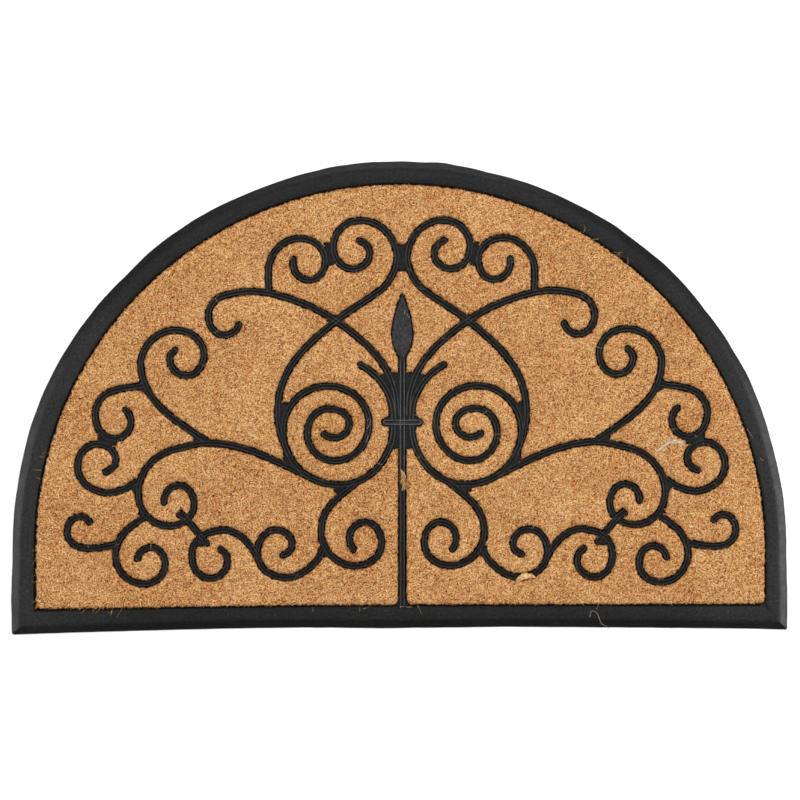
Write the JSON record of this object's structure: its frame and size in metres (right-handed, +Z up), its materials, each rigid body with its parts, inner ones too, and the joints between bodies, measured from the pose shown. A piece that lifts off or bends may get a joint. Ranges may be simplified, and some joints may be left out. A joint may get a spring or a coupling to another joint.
{
  "type": "half round doormat",
  "caption": "Half round doormat: a moulded rubber tray with a bevelled border and raised wrought iron style scrolls, its pockets filled with coir pile.",
  "frame": {"origin": "on the ground under the middle of the mat's box", "axes": "+X along the straight edge to the right, +Y from the straight edge towards the top of the arch, +Z up"},
  "size_m": [0.9914, 0.6044, 0.0124],
  "materials": {
    "rubber": "matt charcoal moulded recycled rubber with a faint grain",
    "coir": "golden tan coconut fibre pile, cut short, speckled light and dark, dry and matt"
  },
  "bodies": {
    "root": {"rubber_moulding": "rubber", "coir_outer": "coir", "coir_spear": "coir", "coir_top_left": "coir", "coir_top_right": "coir", "coir_teardrop_left": "coir", "coir_teardrop_right": "coir", "coir_side_left": "coir", "coir_side_right": "coir", "coir_field_left": "coir", "coir_field_right": "coir"}
  },
  "joints": []
}
